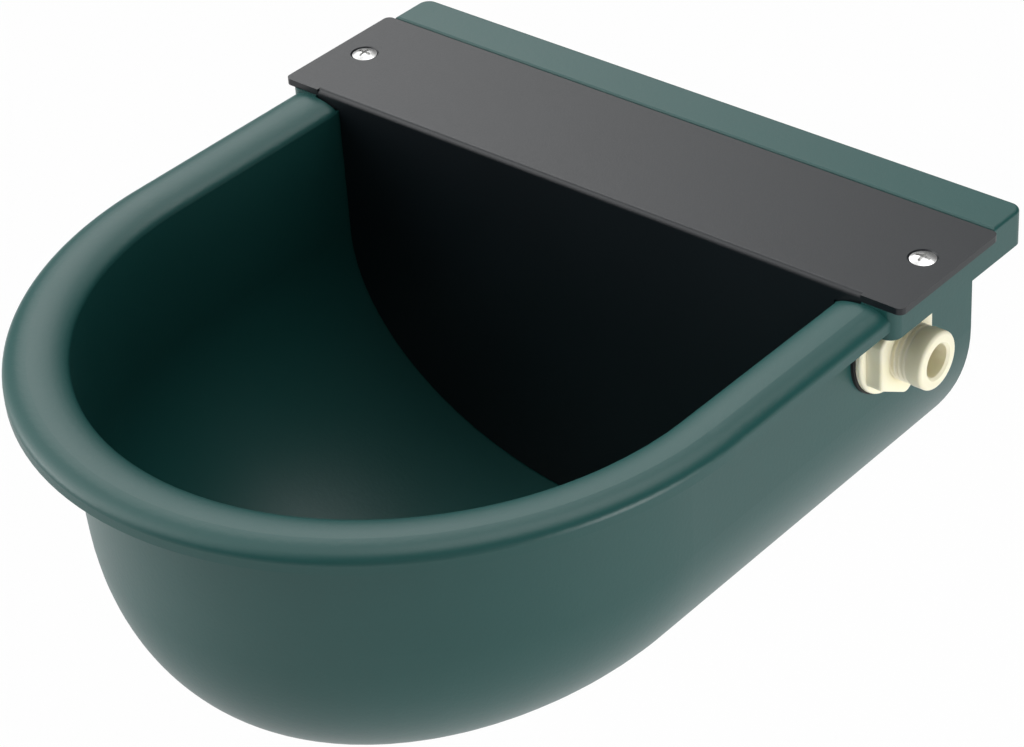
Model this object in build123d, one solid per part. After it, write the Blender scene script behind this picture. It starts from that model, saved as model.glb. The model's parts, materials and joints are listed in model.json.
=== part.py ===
from build123d import *
import os
from math import asin, atan2, cos, degrees, hypot, radians, sin

# A wall-hung drinking bowl with a float valve under a screwed cover, in millimetres.
# The origin is the centre of the two wall bolts, on the bowl's flat back.
# X runs along the cover towards the water inlet, Y into the wall, Z up.

# cover, which sets the bowl's width
cover_top = 25.0
cover_thickness = 2.5
cover_length = 270.0
cover_width = 56.7
cover_corner = 2.5
cover_gap = 1.0
cover_overhang = 2.5

# moulded bowl
wall = 3.5
front_from_cover = 82.5
front_stretch = 1.06
front_taper = 0.04
front_fullness = 2.55
straight_side_depth = 56.5
straight_front_depth = 62.0
depth = 137.3
section_angles = (0, 5, 14, 25, 37, 49, 60, 70, 78, 84)

# deck and the strip behind the cover
deck_lead = 0.5
deck_thickness = 4.5
deck_corner = 4.5
skirt_depth = 13.4
skirt_wall = 3.0
strip_width = 18.2
strip_edge = 1.2
chamber_wall_place = 18.6

# rolled rim, set in from the deck's ends
rim_set_in = 2.0
rim_roll = 8.0
rim_shoulder = 9.6
rim_crest_drop = 2.9
rim_rise = 4.1
rim_lip_depth = 3.2
rim_wall = 3.0
quarter_turn = 90
half_turn = 180

# flat back with its wall bolts
bolt_spacing = 140.0
bolt_hole_radius = 4.5
bolt_boss_wall = 4.5
rib_thickness = 3.0
rib_pitch = 28.0
rib_count = 7
cross_rib_heights = (0.0, -38.0, -76.0)

# baffle, folded down from the cover's front edge, with a window for the water
fold_radius = 2.0
baffle_clearance = 0.6
baffle_shoulder = 9.6
baffle_shoulder_height = 3.0
window_place = 72.0
window_drop = 89.0
window_width = 24.0
window_height = 12.0
window_corner = 3.0

# cover screws
screw_from_end = 12.1
screw_from_front = 30.0
screw_radius = 2.45
screw_hole_clearance = 0.35
screw_dome = 1.0
screw_recess_width = 1.2
screw_recess_length = 5.6
screw_recess_depth = 1.6
countersink_land = 0.35
countersink_ring = 0.65
insert_wall = 1.05
insert_length = 9.0
insert_bottom_gap = 0.5
screw_boss_wall = 2.7
screw_boss_floor = 1.0

# inlet stem and its nut
inlet_from_front = 22.0
inlet_drop = 31.9
stem_length = 22.0
inlet_radius = 10.48
thread_depth = 1.16
inlet_bore_radius = 6.0
inlet_mouth = 1.9
inlet_chamfer = 0.6
thread_clearance = 0.07
wall_hole_clearance = 0.6
washer_thickness = 1.2
washer_radius = 18.6
nut_disc_radius = 17.9
nut_disc_thickness = 2.5
nut_height = 6.2
nut_flats = 30.0
nut_chamfer = 1.2
nut_sides = 6
gasket_thickness = 2.0
gasket_radius = 16.5
valve_flange_radius = 17.0
valve_flange_thickness = 4.0

# barrel, nozzle and plunger
plunger_radius = 7.9
running_clearance = 0.06
barrel_wall = 3.04
barrel_tail = 14.0
nozzle_from_flange = 11.4
nozzle_flange_thickness = 2.4
nozzle_seal_thickness = 1.0
nozzle_nose = 1.1
nozzle_nose_radius = 3.4
orifice_radius = 1.75
nozzle_spigot = 7.0
nozzle_spigot_wall = 1.55
nozzle_taper = 2.0
seat_gap = 0.05
plunger_tail = 11.7
washer_pad_radius = 5.5
washer_pad_thickness = 3.0
washer_pad_proud = 1.0
outlet_width = 5.0
outlet_height = 8.0
outlet_land = 0.6
end_cap_thickness = 2.5
end_cap_skirt = 6.0
end_cap_wall = 1.9
plunger_stop_gap = 0.3

# lever and its pin
pivot_from_flange = 29.4
lever_head_radius = 5.0
lever_head_gap = 1.1
lever_thickness = 6.0
finger_below_axis = 3.0
finger_width = 3.0
finger_tip_radius = 2.6
finger_slot_clearance = 0.15
finger_top_clearance = 0.6
lever_drop = 8.0
lever_depth = 9.0
lever_elbow = 12.0
lever_heel = 9.0
lever_boss_radius = 6.0
lever_boss_length = 12.0
lever_boss_grip = 2.0
lever_reach = 34.0
ear_thickness = 4.0
ear_radius = 6.0
ear_clearance = 0.3
ear_slot_clearance = 1.5
pin_radius = 1.5
pin_clearance = 0.05
pin_head_radius = 3.0
pin_head_thickness = 1.5
pin_tail = 2.0
clip_radius = 3.5
clip_thickness = 0.8

# float and its rod
rod_radius = 2.45
rod_clearance = 0.05
rod_grip = 10.0
rod_between_nuts = 6.0
rod_end_gap = 1.0
rod_nut_flats = 8.0
rod_nut_height = 4.0
float_side_clearance = 2.0
float_far_clearance = 45.4
float_floor_clearance = 16.74
float_wall = 1.6
float_end_round = 7.0
float_boss_radius = 6.0
float_boss_length = 6.0
float_cap_thickness = 3.0
float_spigot = 3.0
float_thread_depth = 8.0

# how far a cutting solid reaches past what it cuts
past = 1.0

# places that follow from the sizes above
deck_half_width = cover_length / 2 - cover_overhang
rim_half_width = deck_half_width - rim_set_in
rim_crest_half_width = rim_half_width - rim_roll
body_half_width = rim_crest_half_width - rim_shoulder
inner_half_width = body_half_width - wall
deck_top = cover_top - cover_thickness
deck_bottom = deck_top - deck_thickness
skirt_bottom = cover_top - skirt_depth
rim_crest = cover_top - rim_crest_drop
rim_side = rim_crest - rim_rise
rim_lip = rim_side - rim_lip_depth
straight_side_end = cover_top - straight_side_depth
straight_front_end = cover_top - straight_front_depth
side_round = depth - straight_side_depth
front_round = depth - straight_front_depth
chamber_back = -chamber_wall_place - wall
cover_back = -strip_width - cover_gap
cover_front = cover_back - cover_width
deck_front = cover_front - deck_lead
front_centre = cover_front - front_from_cover
baffle_back = cover_front + cover_thickness

# places along the valve, from the bowl's side inwards
inlet = (cover_front + inlet_from_front, cover_top - inlet_drop)
inlet_y, inlet_z = inlet
stem_end = body_half_width + stem_length
flange_end = inner_half_width - gasket_thickness
flange_start = flange_end - valve_flange_thickness
nozzle_back = flange_start - nozzle_from_flange
nozzle_front = nozzle_back - nozzle_seal_thickness - nozzle_flange_thickness
seat_face = nozzle_front - nozzle_nose
barrel_bore = plunger_radius + running_clearance
barrel_radius = barrel_bore + barrel_wall
pivot_drop = plunger_radius + lever_head_gap + lever_head_radius
finger_length = pivot_drop - finger_below_axis
pivot_x = flange_start - pivot_from_flange
pivot_z = inlet_z - pivot_drop
barrel_start = pivot_x - barrel_tail

# the float's size and swing, from the room that the chamber gives it
float_radius = inlet_y - baffle_back - float_side_clearance
float_reach = pivot_x + inner_half_width - float_far_clearance
first_nut = lever_reach
second_nut = first_nut + rod_nut_height + rod_between_nuts
float_start = second_nut + rod_nut_height
cap_start = float_start + float_boss_length
cap_end = cap_start + float_cap_thickness
float_length = float_reach - cap_end
floor_drop = pivot_z - (cover_top - depth + wall) - float_floor_clearance
float_corner = hypot(float_reach, float_radius + lever_drop)
float_lean = atan2(float_radius + lever_drop, float_reach)
swing = degrees(asin(floor_drop / float_corner) - float_lean)
travel = finger_length * radians(swing)


# Half width of the bowl's side section at height z
def side_reach(z, inset):
    drop = (straight_side_end - z) / (side_round - inset)
    half = body_half_width - inset
    if drop > 0:
        half *= (1 - drop**2) ** 0.5
    return half


# Reach of the round front ahead of its centre at height z
def front_reach(z, inset):
    taper = front_taper * (rim_side - max(z, straight_front_end))
    reach = (body_half_width - inset) * front_stretch - taper
    drop = (straight_front_end - z) / (front_round - inset)
    if drop > 0:
        reach *= (1 - drop**front_fullness) ** (1 / front_fullness)
    return reach


# Level slice of the bowl: straight back and sides, elliptical front
def bowl_section(z, inset, back):
    half = side_reach(z, inset)
    straights = Polyline(
        (-half, front_centre), (-half, back), (half, back), (half, front_centre)
    )
    front = EllipticalCenterArc(
        (0, front_centre), half, front_reach(z, inset), start_angle=half_turn, arc_size=half_turn
    )
    return Pos(0, 0, z) * make_face(straights + front)


# The bowl's outside, or its inside when inset by the wall
def bowl_form(inset, back):
    heights = [
        straight_side_end - (side_round - inset) * sin(radians(angle))
        for angle in section_angles
    ]
    rounded = loft([bowl_section(z, inset, back) for z in heights])
    straight = [bowl_section(z, inset, back) for z in (rim_side, heights[0])]
    return rounded + loft(straight, ruled=True)


# Upright slice of the bowl across the float chamber, in the XZ plane
def chamber_section(inset, top):
    half = body_half_width - inset
    bowl = Pos(0, straight_side_end) * Ellipse(half, side_round - inset)
    upper = Pos(0, (top + straight_side_end) / 2) * Rectangle(
        2 * half, top - straight_side_end
    )
    lower = Pos(0, straight_side_end - side_round / 2) * Rectangle(
        2 * half, side_round
    )
    return upper + (bowl & lower)


# A box between two corners
def block(low, high):
    size = [b - a for a, b in zip(low, high)]
    middle = [(a + b) / 2 for a, b in zip(low, high)]
    return Pos(*middle) * Box(*size)


# A solid turned about an axis along X from (x, radius) corners
def turned(profile, centre):
    face = Plane.XZ * make_face(Polyline(*profile, close=True))
    return Pos(0, centre[0], centre[1]) * revolve(face, Axis.X)


# A flat ring on an axis along X
def ring(start, length, inner, outer, centre):
    end = start + length
    corners = ((start, inner), (start, outer), (end, outer), (end, inner))
    return turned(corners, centre)


# A hexagon nut on an axis along X, its flats facing along Y
def hexagon_nut(start, height, flats, bore, centre):
    outline = RegularPolygon(
        flats / 2, nut_sides, major_radius=False, rotation=half_turn / nut_sides
    )
    face = Plane.YZ * (outline - Circle(bore))
    return Pos(start, *centre) * extrude(face, height)


# Rolled rim: inner shoulder, crest, outer roll and the hollow under it
def rim_profile():
    centre = (rim_crest_half_width, rim_side)
    under = rim_crest - rim_wall
    lines = [
        EllipticalCenterArc(centre, rim_roll, rim_rise, start_angle=0, arc_size=quarter_turn),
        EllipticalCenterArc(
            centre, rim_shoulder + wall, rim_rise, start_angle=quarter_turn, arc_size=quarter_turn
        ),
        Polyline(
            (inner_half_width, rim_side),
            (body_half_width, rim_side),
            (body_half_width, under),
            (rim_crest_half_width, under),
        ),
        EllipticalCenterArc(
            centre,
            rim_roll - rim_wall,
            rim_rise - rim_wall,
            start_angle=0,
            arc_size=quarter_turn,
        ),
        Polyline(
            (rim_half_width - rim_wall, rim_side),
            (rim_half_width - rim_wall, rim_lip),
            (rim_half_width, rim_lip),
            (rim_half_width, rim_side),
        ),
    ]
    return Plane.XZ * make_face(Curve() + lines)


# bowl shell
profile = rim_profile()
front_rim = scale(
    revolve(profile, Axis((0, 0, 0), (0, 0, -1)), half_turn), by=(1, front_stretch, 1)
)
side_rim = extrude(profile, deck_front - front_centre + past, dir=(0, 1, 0))
rim = Pos(0, front_centre, 0) * (front_rim + side_rim + mirror(side_rim, Plane.YZ))

deck_outline = Pos(0, deck_front / 2) * RectangleRounded(
    2 * deck_half_width, -deck_front, deck_corner
)
skirt_outline = Pos(0, deck_front / 2) * RectangleRounded(
    2 * (deck_half_width - skirt_wall),
    -deck_front - 2 * skirt_wall,
    deck_corner - skirt_wall,
)
deck = Pos(0, 0, skirt_bottom) * extrude(deck_outline, deck_top - skirt_bottom)
deck -= Pos(0, 0, skirt_bottom) * extrude(skirt_outline, deck_bottom - skirt_bottom)
strip_reach = block(
    (-deck_half_width, -strip_width, deck_bottom), (deck_half_width, 0, cover_top)
)
strip = Pos(0, 0, deck_bottom) * extrude(deck_outline, cover_top - deck_bottom)
strip &= strip_reach
strip = fillet(strip.faces().sort_by(Axis.Z)[-1].edges(), strip_edge)

bowl = bowl_form(0, 0) + deck + strip
bowl -= bowl_form(wall, chamber_back)
bowl -= block(
    (-inner_half_width, deck_front - past, deck_bottom - past),
    (inner_half_width, chamber_back, cover_top),
)
bowl += rim

# open back with ribs and bolt bosses
pocket = extrude(Plane.XZ * chamber_section(wall, deck_bottom), chamber_wall_place)
rib_places = [(step - (rib_count - 1) / 2) * rib_pitch for step in range(rib_count)]
ribs = Part() + [
    block(
        (x - rib_thickness / 2, -chamber_wall_place, -depth),
        (x + rib_thickness / 2, 0, cover_top),
    )
    for x in rib_places
]
ribs += [
    block(
        (-body_half_width, -chamber_wall_place, z - rib_thickness / 2),
        (body_half_width, 0, z + rib_thickness / 2),
    )
    for z in cross_rib_heights
]
bolt_places = [Pos(side * bolt_spacing / 2, 0, 0) for side in (-1, 1)]
along_bolt = Plane.XZ
ribs += [
    place * extrude(along_bolt * Circle(bolt_hole_radius + bolt_boss_wall), chamber_wall_place)
    for place in bolt_places
]
bowl -= pocket - ribs
bowl -= [
    place * extrude(along_bolt * Circle(bolt_hole_radius), past - chamber_back)
    for place in bolt_places
]

# bosses and holes for the cover screws
screw_x = cover_length / 2 - screw_from_end
screw_y = cover_front + screw_from_front
screw_places = [Pos(side * screw_x, screw_y, 0) for side in (-1, 1)]
insert_radius = screw_radius + insert_wall
insert_bottom = deck_top - insert_length
boss = Pos(0, 0, insert_bottom - screw_boss_floor) * extrude(
    Circle(insert_radius + screw_boss_wall), insert_length
)
bowl += [place * boss for place in screw_places]
insert_hole = Pos(0, 0, insert_bottom) * extrude(Circle(insert_radius), insert_length + past)
bowl -= [place * insert_hole for place in screw_places]

# notches for the baffle's shoulders, and the inlet hole
shoulder_half_width = inner_half_width + baffle_shoulder
shoulder_bottom = deck_top - baffle_shoulder_height
bowl -= block(
    (
        -shoulder_half_width - baffle_clearance,
        cover_front - baffle_clearance,
        shoulder_bottom - baffle_clearance,
    ),
    (
        shoulder_half_width + baffle_clearance,
        baffle_back + baffle_clearance,
        cover_top,
    ),
)
wall_hole = inlet_radius + wall_hole_clearance
bowl -= ring(inner_half_width - past, wall + 2 * past, 0, wall_hole, inlet)

# cover plate with its countersunk holes
cover_outline = Pos(0, cover_front + cover_width / 2) * RectangleRounded(
    cover_length, cover_width, cover_corner
)
cover = Pos(0, 0, deck_top) * extrude(cover_outline, cover_thickness)
countersink_depth = cover_thickness - countersink_land
screw_head_radius = screw_radius + countersink_depth
screw_hole_radius = screw_radius + screw_hole_clearance
to_top = (Align.CENTER, Align.CENTER, Align.MAX)
countersink = Cone(
    screw_hole_radius,
    screw_head_radius + countersink_ring,
    countersink_depth,
    align=to_top,
)
screw_hole = extrude(Circle(screw_hole_radius), cover_thickness)
countersunk = countersink + Pos(0, 0, -cover_thickness) * screw_hole
cover -= [place * Pos(0, 0, cover_top) * countersunk for place in screw_places]

# cover screws and their threaded inserts
dome_radius = (screw_head_radius**2 + screw_dome**2) / (2 * screw_dome)
dome = Pos(0, 0, screw_dome - dome_radius) * Sphere(dome_radius)
dome &= extrude(Circle(screw_head_radius), screw_dome)
head = Cone(screw_radius, screw_head_radius, countersink_depth, align=to_top)
screw_length = countersink_depth + insert_length - insert_bottom_gap
screw = dome + head + Pos(0, 0, -screw_length) * extrude(Circle(screw_radius), screw_length)
for turn in (0, quarter_turn):
    slot = Rot(0, 0, turn) * Box(screw_recess_length, screw_recess_width, 2 * screw_recess_depth)
    screw -= Pos(0, 0, screw_dome) * slot
head_top = cover_top - countersink_land
screws = [place * Pos(0, 0, head_top) * screw for place in screw_places]
insert = Circle(insert_radius) - Circle(screw_radius + thread_clearance)
insert = extrude(insert, insert_length)
inserts = [place * Pos(0, 0, insert_bottom) * insert for place in screw_places]

# baffle: the cover's sheet folded down to follow the bowl, with its window
baffle_face = chamber_section(wall + baffle_clearance, deck_top)
baffle_face -= Pos(window_place, cover_top - window_drop) * RectangleRounded(
    window_width, window_height, window_corner
)
cover += Pos(0, baffle_back, 0) * extrude(Plane.XZ * baffle_face, cover_thickness)
cover += block(
    (-shoulder_half_width, cover_front, shoulder_bottom),
    (shoulder_half_width, baffle_back, deck_top),
)
fold_back = cover_front + fold_radius
fold_bottom = cover_top - fold_radius
fold = block(
    (-shoulder_half_width, cover_front - past, fold_bottom),
    (shoulder_half_width, fold_back, cover_top + past),
)
fold -= Pos(0, fold_back, fold_bottom) * Cylinder(
    fold_radius, 2 * shoulder_half_width, rotation=(0, quarter_turn, 0)
)
cover -= fold

# valve body: stem, flange and barrel turned about the inlet's axis
nut_start = body_half_width + washer_thickness
hexagon_start = nut_start + nut_disc_thickness
nut_end = hexagon_start + nut_height
thread_middle = inlet_radius - thread_depth / 2
mouth_radius = inlet_bore_radius + inlet_mouth
valve_body = turned(
    (
        (barrel_start, barrel_bore),
        (barrel_start, barrel_radius),
        (flange_start, barrel_radius),
        (flange_start, valve_flange_radius),
        (flange_end, valve_flange_radius),
        (flange_end, thread_middle),
        (nut_end, thread_middle),
        (nut_end, inlet_radius),
        (stem_end - inlet_chamfer, inlet_radius),
        (stem_end, inlet_radius - inlet_chamfer),
        (stem_end, mouth_radius),
        (stem_end - inlet_mouth, inlet_bore_radius),
        (nozzle_back, inlet_bore_radius),
        (nozzle_back, barrel_bore),
    ),
    inlet,
)
slot_half = lever_thickness / 2 + ear_clearance
ear_half = slot_half + ear_thickness
ear_top = inlet_z - (barrel_bore + barrel_radius) / 2
ear_face = Pos(pivot_x, pivot_z) * Circle(ear_radius)
ear_face += Pos(pivot_x, (pivot_z + ear_top) / 2) * Rectangle(2 * ear_radius, ear_top - pivot_z)
ears = Pos(0, inlet_y + ear_half, 0) * extrude(Plane.XZ * ear_face, 2 * ear_half)
barrel_hollow = ring(barrel_start, nozzle_back - barrel_start, 0, barrel_bore, inlet)
valve_body += ears - barrel_hollow
slot_reach = ear_radius + ear_slot_clearance
valve_body -= block(
    (pivot_x - slot_reach, inlet_y - slot_half, pivot_z - 2 * ear_radius),
    (pivot_x + slot_reach, inlet_y + slot_half, inlet_z - plunger_radius + past),
)
outlet_end = nozzle_front - outlet_land
valve_body -= block(
    (outlet_end - outlet_width, inlet_y - 2 * barrel_radius, inlet_z - outlet_height / 2),
    (outlet_end, inlet_y + 2 * barrel_radius, inlet_z + outlet_height / 2),
)


# A round bar along Y through the lever's pivot
def cross_pin(radius, start, length):
    face = Plane.XZ * Circle(radius)
    return Pos(pivot_x, start + length, pivot_z) * extrude(face, length)


ear_front = inlet_y - ear_half
ear_back = inlet_y + ear_half
valve_body -= cross_pin(pin_radius + pin_clearance, ear_front - past, 2 * (ear_half + past))

# washers and the flanged nut that clamp the stem in the wall
stem_hole = inlet_radius + thread_clearance
inner_gasket = ring(flange_end, gasket_thickness, stem_hole, gasket_radius, inlet)
outer_washer = ring(body_half_width, washer_thickness, stem_hole, washer_radius, inlet)
nut_bore = thread_middle + thread_clearance
lock_nut = ring(nut_start, nut_disc_thickness, nut_bore, nut_disc_radius, inlet)
hexagon = hexagon_nut(hexagon_start, nut_height, nut_flats, nut_bore, inlet)
nut_corner = nut_flats / 2 / cos(radians(half_turn / nut_sides))
rounding = turned(
    (
        (nut_start, 0),
        (nut_start, nut_corner),
        (nut_end - nut_chamfer / 2, nut_corner),
        (nut_end, nut_corner - nut_chamfer),
        (nut_end, 0),
    ),
    inlet,
)
lock_nut += hexagon & rounding

# nozzle with its seal, and the plunger with its washer
spigot_radius = inlet_bore_radius - rod_clearance
nozzle_funnel = spigot_radius - nozzle_spigot_wall
nozzle = turned(
    (
        (seat_face, orifice_radius),
        (seat_face, nozzle_nose_radius),
        (nozzle_front, nozzle_nose_radius),
        (nozzle_front, plunger_radius),
        (nozzle_front + nozzle_flange_thickness, plunger_radius),
        (nozzle_front + nozzle_flange_thickness, spigot_radius),
        (nozzle_back + nozzle_spigot, spigot_radius),
        (nozzle_back + nozzle_spigot, nozzle_funnel),
        (nozzle_back + nozzle_taper / 2, nozzle_funnel),
        (nozzle_back - nozzle_taper / 2, orifice_radius),
    ),
    inlet,
)
nozzle_seal = ring(
    nozzle_back - nozzle_seal_thickness,
    nozzle_seal_thickness,
    inlet_bore_radius,
    plunger_radius,
    inlet,
)
pad_front = seat_face - seat_gap - travel
pad_back = pad_front - washer_pad_thickness
plunger_front = pad_front - washer_pad_proud
plunger_back = pivot_x - plunger_tail
plunger_washer = ring(pad_back, washer_pad_thickness, 0, washer_pad_radius, inlet)
plunger = ring(plunger_back, plunger_front - plunger_back, 0, plunger_radius, inlet)
plunger -= ring(pad_back, washer_pad_thickness, 0, washer_pad_radius, inlet)
tip_lean = radians(swing / 2)
tip_place = pivot_x - finger_length * sin(tip_lean)
tip_top = pivot_z + finger_length + finger_tip_radius
slot_half_length = finger_tip_radius + finger_slot_clearance
plunger -= block(
    (tip_place - slot_half_length, inlet_y - slot_half, pivot_z),
    (tip_place + slot_half_length, inlet_y + slot_half, tip_top + finger_top_clearance),
)

# cap that closes the barrel and stops the plunger
cap_bore = barrel_radius + thread_clearance
cap_radius = cap_bore + end_cap_wall
plug_end = plunger_back - plunger_stop_gap
end_cap = turned(
    (
        (barrel_start - end_cap_thickness, 0),
        (barrel_start - end_cap_thickness, cap_radius),
        (barrel_start + end_cap_skirt, cap_radius),
        (barrel_start + end_cap_skirt, cap_bore),
        (barrel_start, cap_bore),
        (barrel_start, plunger_radius),
        (plug_end, plunger_radius),
        (plug_end, 0),
    ),
    inlet,
)

# pin and clip
lever_pin = cross_pin(pin_radius, ear_front, ear_back - ear_front + pin_tail)
lever_pin += cross_pin(pin_head_radius, ear_front - pin_head_thickness, pin_head_thickness)
pin_clip = cross_pin(clip_radius, ear_back, clip_thickness)
pin_clip -= cross_pin(pin_radius, ear_back, clip_thickness)


# Carry a piece from the shut pose, pivot at the origin, to the hanging pose
def at_rest(piece):
    return Pos(pivot_x, inlet_y, pivot_z) * Rot(0, -swing, 0) * piece


# A ring on the rod's axis, start measured out from the pivot
def along_rod(start, length, inner, outer):
    return ring(-start - length, length, inner, outer, (0, -lever_drop))


# lever: head on the pin, finger up into the plunger, cranked arm out to the rod
lever_face = Circle(lever_head_radius)
finger = Pos(0, finger_length / 2) * Rectangle(finger_width, finger_length)
finger += Pos(0, finger_length) * Circle(finger_tip_radius)
lever_face += Rot(0, 0, -swing / 2) * finger
arm_top = lever_depth / 2 - lever_drop
arm_bottom = arm_top - lever_depth
boss_start = lever_reach - lever_boss_length
arm_end = -boss_start - lever_boss_grip
lever_face += make_hull(
    [
        *Circle(lever_head_radius).edges(),
        *Polyline((-lever_elbow, arm_top), (-lever_heel, arm_bottom)).edges(),
    ]
)
lever_face += make_face(
    Polyline(
        (-lever_elbow, arm_top),
        (arm_end, arm_top),
        (arm_end, arm_bottom),
        (-lever_heel, arm_bottom),
        close=True,
    )
)
lever_face -= Circle(pin_radius + running_clearance)
lever = Pos(0, lever_thickness / 2, 0) * extrude(Plane.XZ * lever_face, lever_thickness)
lever += along_rod(boss_start, lever_boss_length, 0, lever_boss_radius)
rod_hole = rod_radius + rod_clearance
lever -= along_rod(lever_reach - rod_grip, rod_grip + past, 0, rod_hole)

# threaded rod, its two nuts, and the float
rod_start = lever_reach - rod_grip
rod_end = float_start + float_thread_depth - rod_end_gap
rod = along_rod(rod_start, rod_end - rod_start, 0, rod_radius)
rod_nut, float_nut = [
    hexagon_nut(-end, rod_nut_height, rod_nut_flats, rod_hole, (0, -lever_drop))
    for end in (first_nut + rod_nut_height, float_start)
]
cap_spigot = float_radius - float_wall - rod_clearance
float_cap = along_rod(float_start, float_boss_length, 0, float_boss_radius)
float_cap += along_rod(cap_start, float_cap_thickness, 0, float_radius)
float_cap += along_rod(cap_end, float_spigot, 0, cap_spigot)
float_cap -= along_rod(float_start, float_thread_depth, 0, rod_hole)
float_body = along_rod(cap_end, float_length, 0, float_radius)
far_edge = float_body.edges().filter_by(GeomType.CIRCLE).sort_by(Axis.X)[0]
float_body = fillet(far_edge, float_end_round)
hollow = along_rod(cap_end, float_length - float_wall, 0, float_radius - float_wall)
far_edge = hollow.edges().filter_by(GeomType.CIRCLE).sort_by(Axis.X)[0]
float_body -= fillet(far_edge, float_end_round - float_wall)

parts = {
    "bowl_shell": bowl,
    "cover_plate": cover,
    "cover_screws": Compound(children=screws),
    "cover_screw_inserts": Compound(children=inserts),
    "valve_body": valve_body,
    "inner_gasket": inner_gasket,
    "outer_washer": outer_washer,
    "inlet_lock_nut": lock_nut,
    "valve_nozzle": nozzle,
    "nozzle_seal": nozzle_seal,
    "plunger": plunger,
    "plunger_washer": plunger_washer,
    "valve_end_cap": end_cap,
    "lever_pin": lever_pin,
    "pin_clip": pin_clip,
    "float_lever": at_rest(lever),
    "float_rod": at_rest(rod),
    "rod_lock_nut": at_rest(rod_nut),
    "float_lock_nut": at_rest(float_nut),
    "float_cap": at_rest(float_cap),
    "float_body": at_rest(float_body),
}
os.makedirs("parts", exist_ok=True)
for name, shape in parts.items():
    export_step(shape, f"parts/{name}.step")
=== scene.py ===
import bmesh
import bpy
import json
from math import cos, pi, radians, sin
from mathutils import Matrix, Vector


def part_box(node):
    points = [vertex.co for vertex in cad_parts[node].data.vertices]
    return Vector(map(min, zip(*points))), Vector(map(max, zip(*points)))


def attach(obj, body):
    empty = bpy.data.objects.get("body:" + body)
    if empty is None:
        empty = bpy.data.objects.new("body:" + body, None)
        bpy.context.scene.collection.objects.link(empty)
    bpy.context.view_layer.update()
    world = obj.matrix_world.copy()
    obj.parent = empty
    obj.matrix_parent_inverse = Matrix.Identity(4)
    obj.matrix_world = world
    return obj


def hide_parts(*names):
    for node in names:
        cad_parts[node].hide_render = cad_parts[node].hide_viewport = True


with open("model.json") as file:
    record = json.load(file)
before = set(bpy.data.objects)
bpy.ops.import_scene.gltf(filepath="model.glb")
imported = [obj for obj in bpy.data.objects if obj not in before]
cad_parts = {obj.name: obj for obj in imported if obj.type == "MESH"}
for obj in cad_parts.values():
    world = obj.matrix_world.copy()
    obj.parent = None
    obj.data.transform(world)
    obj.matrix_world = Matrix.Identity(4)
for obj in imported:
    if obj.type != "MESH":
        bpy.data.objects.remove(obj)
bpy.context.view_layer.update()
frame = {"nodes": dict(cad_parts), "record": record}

nodes = frame["nodes"]
print("frame loaded:", len(nodes), "nodes")


# camera: worked out from the cover's corners and the bowl's outline in the photograph

cameraSet = {
    "place": (0.6175, -0.7966, 0.5948),     # metres
    "turn": (55.72, 3.23, 39.91),           # degrees
    "lens": 113.8,                          # millimetres
    "sensor": 36,                           # millimetres across
    "shift": (0.0006, -0.0002),
    "nearest": 0.01,                        # metres
}


def setCamera(values):
    bpy.ops.object.camera_add(location=values["place"], rotation=[radians(a) for a in values["turn"]])
    camera = bpy.context.object
    camera.name = "photoCamera"
    camera.data.lens = values["lens"]
    camera.data.sensor_width = values["sensor"]
    camera.data.shift_x, camera.data.shift_y = values["shift"]
    camera.data.clip_start = values["nearest"]
    bpy.context.scene.camera = camera


setCamera(cameraSet)
print("camera set")


# shader maths: a Wire is one socket, and sums on it add Math nodes

class Wire:
    def __init__(self, tree, socket):
        self.tree = tree
        self.socket = socket

    def plugInto(self, target, value):
        if isinstance(value, Wire):
            self.tree.links.new(value.socket, target)
        else:
            target.default_value = value

    def maths(self, operation, first, second, clamp=False):
        made = self.tree.nodes.new("ShaderNodeMath")
        made.operation = operation
        made.use_clamp = clamp
        self.plugInto(made.inputs[0], first)
        self.plugInto(made.inputs[1], second)
        return Wire(self.tree, made.outputs[0])

    def __add__(self, other):
        return self.maths("ADD", self, other)

    __radd__ = __add__

    def __mul__(self, other):
        return self.maths("MULTIPLY", self, other)

    __rmul__ = __mul__

    def __sub__(self, other):
        return self.maths("SUBTRACT", self, other)

    def __rsub__(self, other):
        return self.maths("SUBTRACT", other, self)

    def sharpened(self, power):                 # the power of what is above 0
        return self.maths("POWER", self.maths("MAXIMUM", self, 0), power)

    def above(self, edge, width):               # 0 below the edge, 1 past its width
        return self.maths("MULTIPLY", self - edge, 1 / width, clamp=True)


class Shader:                                   # the nodes of a material or of the world
    def __init__(self, tree):
        self.tree = tree

    def add(self, kind, settings, sockets, output=0):
        made = self.tree.nodes.new("ShaderNode" + kind)
        for setting, value in settings.items():
            setattr(made, setting, value)
        result = Wire(self.tree, made.outputs[output])
        for socket, value in sockets.items():
            result.plugInto(made.inputs[socket], value)
        return result

    def end(self, node, socket, wire):          # a wire into a node that is there already
        wire.plugInto(self.tree.nodes[node].inputs[socket], wire)


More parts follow.
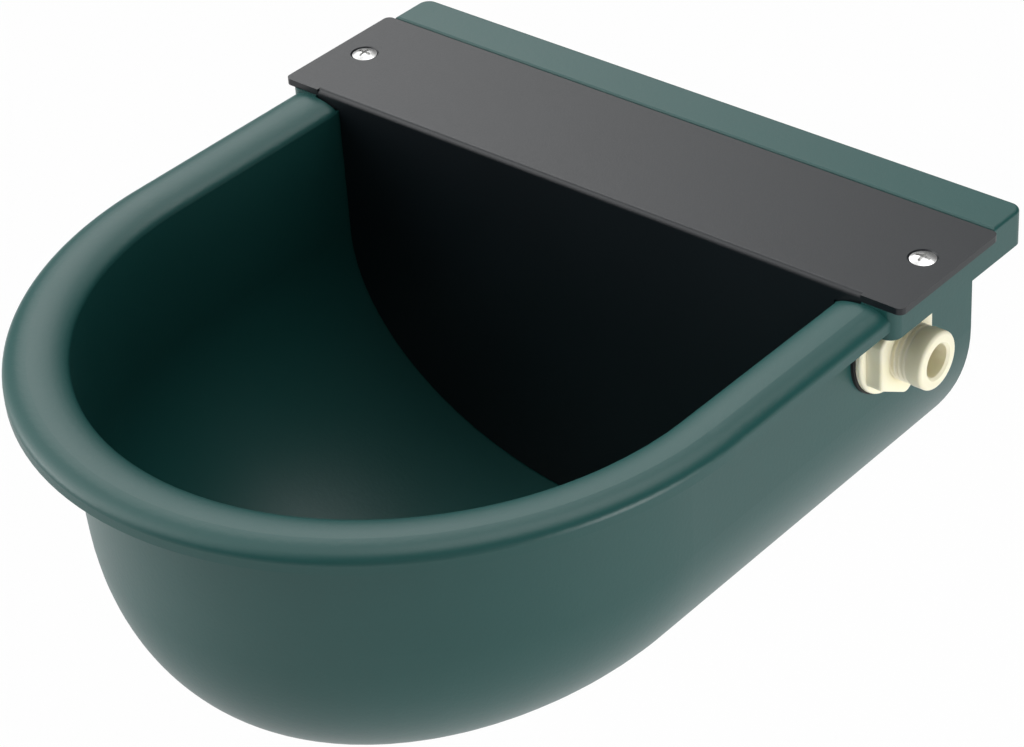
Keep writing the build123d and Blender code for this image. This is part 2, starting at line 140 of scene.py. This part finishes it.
class Finish(Shader):                           # a material on the Principled shader
    def __init__(self, name, **fixed):
        self.material = bpy.data.materials.new(name)
        self.material.use_nodes = True
        super().__init__(self.material.node_tree)
        for socket, value in fixed.items():
            self.tree.nodes["Principled BSDF"].inputs[socket.replace("_", " ")].default_value = value
        self.place = self.add("TexCoord", {}, {}, "Object")

    def feed(self, socket, wire):
        self.end("Principled BSDF", socket, wire)

    def noise(self, scale, detail=2.0, rough=0.5):
        sockets = {"Vector": self.place, "Scale": scale, "Detail": detail, "Roughness": rough}
        return self.add("TexNoise", {}, sockets, "Fac")

    def blend(self, amount, low, high):         # 6 and 7 are the Mix node's two colours, 2 the result
        return self.add("Mix", {"data_type": "RGBA"}, {0: amount, 6: low, 7: high}, 2)

    def shade(self, amount, values):
        return self.blend(amount, colour(*values["dark"]), colour(*values["light"]))

    def roughen(self, amount, values):
        self.feed("Roughness", amount * values["roughRange"] + values["rough"])

    def bump(self, height, depth):
        self.feed("Normal", self.add("Bump", {}, {"Height": height, "Distance": depth}))


def colour(red, green, blue):                   # a screen colour of 0-255 as a shader colour
    def linear(value):
        value /= 255
        return value / 12.92 if value <= 0.04045 else ((value + 0.055) / 1.055) ** 2.4
    return (linear(red), linear(green), linear(blue), 1)


# finishes: colours as on a screen, scales in cells per metre, depths in metres


# moulded plastic of the bowl, a little clouded, with pale specks

greenSet = {
    "dark": (23, 72, 69),
    "light": (29, 79, 76),
    "shine": 0.42,
    "cloud": 14,
    "rough": 0.33,
    "roughCloud": 0.08,
    "roughSpeck": 0.03,
    "speck": 2400,
    "speckColour": (44, 94, 90),
    "speckStart": 0.62,             # of the noise
    "speckWidth": 0.2,
    "speckStrength": 0.2,
    "grain": 700,
    "speckHeight": 0.4,             # of the grain's
    "depth": 0.00004,
}


def greenPlastic(values):
    finish = Finish("greenPlastic", Specular_IOR_Level=values["shine"])
    cloud = finish.noise(values["cloud"], detail=3)
    speck = finish.noise(values["speck"], detail=1)
    spots = speck.above(values["speckStart"], values["speckWidth"]) * values["speckStrength"]
    shade = finish.shade(cloud, values)
    finish.feed("Base Color", finish.blend(spots, shade, colour(*values["speckColour"])))
    unevenness = cloud * values["roughCloud"] + speck * values["roughSpeck"]
    finish.feed("Roughness", unevenness + values["rough"])
    finish.bump(finish.noise(values["grain"]) + speck * values["speckHeight"], values["depth"])
    return finish


# satin sheet of the cover and its baffle

blackSet = {
    "dark": (18, 22, 26),
    "light": (23, 28, 33),
    "shine": 0.40,
    "cloud": 20,
    "grain": 1500,
    "rough": 0.29,
    "roughRange": 0.14,
    "depth": 0.00003,
}


def blackSheet(values):
    finish = Finish("blackSheet", Specular_IOR_Level=values["shine"])
    grain = finish.noise(values["grain"], detail=3, rough=0.6)
    finish.feed("Base Color", finish.shade(finish.noise(values["cloud"]), values))
    finish.roughen(grain, values)
    finish.bump(grain, values["depth"])
    return finish


# plastic of the inlet and the valve, into which a little light goes

ivorySet = {
    "dark": (249, 241, 208),
    "light": (253, 248, 224),
    "shine": 0.45,
    "inside": 0.2,                  # share of the light that goes in
    "insideReach": (0.006, 0.005, 0.003),
    "insideScale": 0.5,
    "cloud": 120,
    "grain": 1800,
    "rough": 0.32,
    "roughRange": 0.12,
    "depth": 0.00002,
}


def ivoryPlastic(values):
    finish = Finish("ivoryPlastic", Specular_IOR_Level=values["shine"],
                    Subsurface_Weight=values["inside"],
                    Subsurface_Radius=values["insideReach"],
                    Subsurface_Scale=values["insideScale"])
    cloud = finish.noise(values["cloud"], detail=3)
    finish.feed("Base Color", finish.shade(cloud, values))
    finish.roughen(cloud, values)
    finish.bump(finish.noise(values["grain"]), values["depth"])
    return finish


steelSet = {
    "dark": (214, 214, 214),
    "light": (242, 242, 240),
    "brushed": 4000,
    "rough": 0.2,
    "roughRange": 0.2,
    "depth": 0.00001,
}


def brightSteel(values):
    finish = Finish("brightSteel", Metallic=1.0)
    brushed = finish.noise(values["brushed"])
    finish.feed("Base Color", finish.shade(brushed, values))
    finish.roughen(brushed, values)
    finish.bump(brushed, values["depth"])
    return finish


brassSet = {
    "dark": (196, 160, 92),
    "light": (220, 188, 120),
    "brushed": 3000,
    "rough": 0.2,
    "roughRange": 0.2,
}


def turnedBrass(values):
    finish = Finish("turnedBrass", Metallic=1.0)
    brushed = finish.noise(values["brushed"])
    finish.feed("Base Color", finish.shade(brushed, values))
    finish.roughen(brushed, values)
    return finish


rubberSet = {
    "dark": (24, 24, 25),
    "light": (40, 40, 41),
    "shine": 0.4,
    "grain": 1200,
    "rough": 0.6,
    "roughRange": 0.2,
    "depth": 0.00005,
}


def blackRubber(values):
    finish = Finish("blackRubber", Specular_IOR_Level=values["shine"])
    grain = finish.noise(values["grain"], detail=3)
    finish.feed("Base Color", finish.shade(grain, values))
    finish.roughen(grain, values)
    finish.bump(grain, values["depth"])
    return finish


floatSet = {
    "dark": (214, 214, 208),
    "light": (230, 230, 225),
    "shine": 0.45,
    "cloud": 60,
    "grain": 1500,
    "rough": 0.4,
    "roughRange": 0.15,
    "depth": 0.00003,
}


def floatPlastic(values):
    finish = Finish("floatPlastic", Specular_IOR_Level=values["shine"])
    cloud = finish.noise(values["cloud"], detail=3)
    finish.feed("Base Color", finish.shade(cloud, values))
    finish.roughen(cloud, values)
    finish.bump(finish.noise(values["grain"]), values["depth"])
    return finish


finishes = {                                    # by the record's material slots
    "green_plastic": greenPlastic(greenSet),
    "black_plastic": blackSheet(blackSet),
    "ivory_plastic": ivoryPlastic(ivorySet),
    "screw_steel": brightSteel(steelSet),
    "brass": turnedBrass(brassSet),
    "rubber": blackRubber(rubberSet),
    "float_plastic": floatPlastic(floatSet),
}


def wear(piece, slot):
    piece.data.materials.clear()
    piece.data.materials.append(finishes[slot].material)


for part in frame["record"]["subparts"]:
    wear(nodes[part["node"]], part["material_slot"])
print("finishes on")


# modelling helpers: edit mode on one piece, edges picked by a test on their place

modelling = {
    "merge": 0.000003,              # metres
    "sharp": 35,                    # degrees, above which an edge stays sharp
    "sides": 96,                    # of a turned piece
    "cornerSteps": 6,               # of its rounded corners
}


def edit(piece, kind="FACE"):
    bpy.ops.object.select_all(action="DESELECT")
    piece.select_set(True)
    bpy.context.view_layer.objects.active = piece
    bpy.ops.object.mode_set(mode="EDIT")
    bpy.ops.mesh.select_mode(type=kind)


def pickEdges(piece, test):
    bpy.ops.mesh.select_all(action="DESELECT")
    mesh = bmesh.from_edit_mesh(piece.data)
    for edge in mesh.edges:
        if test(edge):
            edge.select_set(True)
    bmesh.update_edit_mesh(piece.data)


def settle(piece):                              # merge, turn faces outwards, leave edit mode
    bpy.ops.mesh.select_all(action="SELECT")
    bpy.ops.mesh.remove_doubles(threshold=modelling["merge"])
    bpy.ops.mesh.normals_make_consistent(inside=False)
    bpy.ops.object.mode_set(mode="OBJECT")
    bpy.ops.object.shade_smooth_by_angle(angle=radians(modelling["sharp"]))


# a piece turned about an axis along X: one ring is extruded and scaled from corner to corner
def turned(name, axis, corners, capped=False):
    place, radius = corners[0]
    bpy.ops.object.select_all(action="DESELECT")
    bpy.ops.mesh.primitive_circle_add(vertices=modelling["sides"], radius=radius,
                                      location=(place, *axis), rotation=(0, pi / 2, 0))
    piece = bpy.context.object
    piece.name = name
    bpy.ops.object.transform_apply(location=True, rotation=True, scale=True)
    edit(piece, "EDGE")
    bpy.ops.mesh.select_all(action="SELECT")
    for nextPlace, nextRadius in corners[1:]:
        bpy.ops.mesh.extrude_region_move(
            TRANSFORM_OT_translate={"value": (nextPlace - place, 0, 0)})
        factor = nextRadius / radius
        bpy.ops.transform.resize(value=(1, factor, factor), center_override=(nextPlace, *axis))
        place, radius = nextPlace, nextRadius
    if capped:
        bpy.ops.mesh.select_all(action="SELECT")
        bpy.ops.mesh.fill_holes(sides=0)
    settle(piece)
    return piece


def joined(pieces):
    bpy.ops.object.select_all(action="DESELECT")
    for piece in pieces:
        piece.select_set(True)
    bpy.context.view_layer.objects.active = pieces[0]
    bpy.ops.object.join()
    return pieces[0]


def ready(piece, slot, node):
    wear(piece, slot)
    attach(piece, "bowl")
    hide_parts(node)


# where the inlet sits: its axis, the nut's outer face and the stem's end

inlet = next(mount for mount in frame["record"]["mounts"] if mount["name"] == "water_inlet")
inletMiddle, *inletAxis = inlet["pos_m"]
nutEnd = inletMiddle - inlet["dims"]["length_mm"] / 1000 / 2
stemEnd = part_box("valve_body")[1].x


# inlet stem, in metres: the valve body's own mesh up to the nut, then a stem with thread and collar

stemSet = {
    "insideNut": 0.0015,
    "root": 0.00985,                # thread's lowest radius
    "crest": 0.01032,
    "ridge": 0.0013,                # width of a ridge at its foot
    "ridgeSunk": 0.00013,           # of its foot, in the stem
    "pitch": 0.001814,              # 14 turns to the inch
    "turnSteps": 64,                # of one turn of the thread
    "collar": 0.0066,
    "collarRadius": 0.01046,
    "edge": 0.0013,                 # rounding of the collar
    "mouth": 0.0069,
    "bore": 0.006,
}


def roundedCorner(place, radius, edge):         # from the outside to the end face
    steps = modelling["cornerSteps"]
    turns = [pi / 2 * step / steps for step in range(steps + 1)]
    return [(place - edge + edge * sin(turn), radius - edge + edge * cos(turn)) for turn in turns]


# an equal-sided triangle, its point outwards, widened and then wound round the axis
def threadRidge(values, start, turns):
    height = values["crest"] - values["root"] + values["ridgeSunk"]
    radius = height * 2 / 3
    bpy.ops.object.select_all(action="DESELECT")
    bpy.ops.mesh.primitive_circle_add(vertices=3, radius=radius, rotation=(pi / 2, 0, 0),
                                      location=(start, *inletAxis))
    ridge = bpy.context.object
    bpy.ops.object.transform_apply(location=False, rotation=True, scale=True)
    edit(ridge, "EDGE")
    bpy.ops.mesh.select_all(action="SELECT")
    bpy.ops.transform.translate(value=(0, 0, values["crest"] - radius))
    widen = values["ridge"] / (radius * 3 ** 0.5)      # against the triangle's own side
    bpy.ops.transform.resize(value=(widen, 1, 1), center_override=(start, *inletAxis))
    bpy.ops.object.mode_set(mode="OBJECT")
    wound = ridge.modifiers.new("wound", "SCREW")
    wound.axis = "X"
    wound.screw_offset = values["pitch"]
    wound.iterations = turns
    wound.steps = wound.render_steps = values["turnSteps"]
    bpy.ops.object.modifier_apply(modifier=wound.name)
    edit(ridge)
    bpy.ops.mesh.select_all(action="SELECT")
    bpy.ops.mesh.fill_holes(sides=3)
    settle(ridge)
    bpy.ops.object.transform_apply(location=True, rotation=True, scale=True)
    return ridge


def valveBody(values):
    start = nutEnd - values["insideNut"]
    body = bpy.data.objects.new("valveBody", nodes["valve_body"].data.copy())
    bpy.context.collection.objects.link(body)
    edit(body, "EDGE")
    bpy.ops.mesh.select_all(action="SELECT")
    bpy.ops.mesh.remove_doubles(threshold=modelling["merge"])
    bpy.ops.mesh.select_all(action="SELECT")
    bpy.ops.mesh.bisect(plane_co=(start, 0, 0), plane_no=(1, 0, 0), clear_outer=True)
    pickEdges(body, lambda edge: edge.is_boundary)
    bpy.ops.mesh.bridge_edge_loops()
    settle(body)
    neck = stemEnd - values["collar"]
    stem = turned("stem", inletAxis, [
        (start, values["bore"]),
        (start, values["root"]),
        (neck, values["root"]),
        (neck + values["edge"], values["collarRadius"]),
        *roundedCorner(stemEnd, values["collarRadius"], values["edge"]),
        (stemEnd, values["mouth"]),
        (stemEnd - values["mouth"] + values["bore"], values["bore"]),
        (start, values["bore"]),
    ])
    turns = round((neck - start) / values["pitch"])
    return joined([body, stem, threadRidge(values, start + values["ridge"] / 2, turns)])


ready(valveBody(stemSet), "ivory_plastic", "valve_body")
print("valve body and stem made")


# flanged lock nut, in metres: a turned flange and a hexagon with soft corners, two of them up and down

nutSet = {
    "flange": 0.0179,               # radius
    "flangeThick": 0.0025,
    "flangeEdge": 0.0011,           # rounding of its front
    "flats": 0.030,
    "height": 0.0062,
    "sunk": 0.0006,                 # of the hexagon in the flange
    "corner": 0.0016,
    "cornerSteps": 5,
    "frontEdge": 0.0011,
    "frontSteps": 4,
    "bore": 0.0101,
    "countersink": 0.0007,
}


def lockNut(values):
    flangeEnd = nutEnd - values["height"]
    flangeStart = flangeEnd - values["flangeThick"]
    backEdge = values["flangeEdge"] / 3
    flange = turned("lockNut", inletAxis, [
        (flangeStart, values["bore"]),
        (flangeStart, values["flange"] - backEdge),
        (flangeStart + backEdge, values["flange"]),
        *roundedCorner(flangeEnd, values["flange"], values["flangeEdge"]),
        (flangeEnd, values["bore"]),
        (flangeStart, values["bore"]),
    ])
    depth = values["height"] + values["sunk"]
    bpy.ops.object.select_all(action="DESELECT")
    bpy.ops.mesh.primitive_cylinder_add(vertices=6, radius=values["flats"] / 3 ** 0.5, depth=depth,
                                        location=(nutEnd - depth / 2, *inletAxis),
                                        rotation=(pi / 2, 0, pi / 2))
    hexagon = bpy.context.object
    bpy.ops.object.transform_apply(location=True, rotation=True, scale=True)
    edit(hexagon, "EDGE")
    pickEdges(hexagon, lambda edge: abs(edge.verts[0].co.x - edge.verts[1].co.x) > depth / 2)
    bpy.ops.mesh.bevel(offset=values["corner"], segments=values["cornerSteps"])
    pickEdges(hexagon, lambda edge: all(corner.co.x > nutEnd - depth / 4 for corner in edge.verts))
    bpy.ops.mesh.bevel(offset=values["frontEdge"], segments=values["frontSteps"])
    settle(hexagon)
    cutter = turned("nutBore", inletAxis, [
        (flangeStart, values["bore"]),
        (nutEnd - values["countersink"], values["bore"]),
        (nutEnd + values["countersink"], values["bore"] + 2 * values["countersink"]),
    ], capped=True)
    drilled = hexagon.modifiers.new("drilled", "BOOLEAN")
    drilled.object = cutter
    drilled.operation = "DIFFERENCE"
    bpy.ops.object.select_all(action="DESELECT")
    bpy.context.view_layer.objects.active = hexagon
    bpy.ops.object.modifier_apply(modifier=drilled.name)
    bpy.data.objects.remove(cutter)
    return joined([flange, hexagon])


ready(lockNut(nutSet), "ivory_plastic", "inlet_lock_nut")
print("lock nut made")


# studio: soft panels round the bowl, mostly on its left, and a white floor

studio = {
    "floorDrop": 0.35,              # below the bowl, which hangs on a wall
    "floorSize": 12,
    "floorColour": (0.8, 0.8, 0.8, 1),
    "floorRough": 0.9,
    "floorSpecular": 0.1,
    "floorWhite": 0.92,             # the rest of it takes light and shadow
    "floorShine": 0.7,              # how white it looks in the plastic
    "fill": 0.12,                   # light from all round
    "panels": {                     # compass and height in degrees, tightness, strength
        "leftLow": (205, 8, 15, 5.2),
        "leftHigh": (208, 44, 12, 3.2),
        "backLeft": (141, 36, 38, 4.6),
        "backHigh": (88, 60, 30, 3.2),
        "top": (90, 82, 30, 3.0),
        "rightLow": (8, 2, 40, 4.0),
        "frontRight": (-40, 30, 14, 0.5),
    },
    "lamp": {"place": (0.78, -0.10, -0.05), "aim": (0.12, -0.06, -0.02), "size": 0.3, "strength": 0.36},
}


def whiteWorld(values):
    world = bpy.data.worlds.new("whiteStudio")
    bpy.context.scene.world = world
    world.use_nodes = True
    sky = Shader(world.node_tree)
    looking = sky.add("TexCoord", {}, {}, "Generated")
    light = values["fill"]
    for compass, height, tightness, strength in values["panels"].values():
        across = cos(radians(height))
        towards = (cos(radians(compass)) * across, sin(radians(compass)) * across, sin(radians(height)))
        facing = sky.add("VectorMath", {"operation": "DOT_PRODUCT"}, {0: looking, 1: towards}, "Value")
        light = facing.sharpened(tightness) * strength + light
    camera = sky.add("LightPath", {}, {}, "Is Camera Ray")
    sky.end("Background", "Strength", light + camera * (1 - light))     # white behind the object
    world.node_tree.nodes["Background"].inputs["Color"].default_value = (1, 1, 1, 1)


def softLamp(name, values):
    reach = Vector(values["aim"]) - Vector(values["place"])
    bpy.ops.object.light_add(type="AREA", location=values["place"])
    lamp = bpy.context.object
    lamp.name = name
    lamp.visible_camera = False
    lamp.data.shape = "DISK"
    lamp.data.size = values["size"]
    lamp.data.energy = values["strength"] * pi ** 2 * reach.length_squared     # 1 lights white to white
    lamp.rotation_euler = reach.to_track_quat("-Z", "Y").to_euler()


def paleFloor(values, height):
    bpy.ops.mesh.primitive_plane_add(size=values["floorSize"], location=(0, 0, height))
    floor = bpy.context.object
    floor.name = "floor"
    finish = Finish("paleFloor", Base_Color=values["floorColour"], Roughness=values["floorRough"],
                    Specular_IOR_Level=values["floorSpecular"])
    camera = finish.add("LightPath", {}, {}, "Is Camera Ray")
    glossy = finish.add("LightPath", {}, {}, "Is Glossy Ray")
    white = camera * values["floorWhite"] + glossy * values["floorShine"]
    matt = Wire(finish.tree, finish.tree.nodes["Principled BSDF"].outputs[0])
    glow = finish.add("Emission", {}, {"Strength": 1.0})
    finish.end("Material Output", "Surface", finish.add("MixShader", {}, {0: white, 1: matt, 2: glow}))
    floor.data.materials.append(finish.material)


whiteWorld(studio)
softLamp("rightLamp", studio["lamp"])
paleFloor(studio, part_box("bowl_shell")[0].z - studio["floorDrop"])
bpy.context.scene.view_settings.view_transform = "Standard"
print("studio lit")
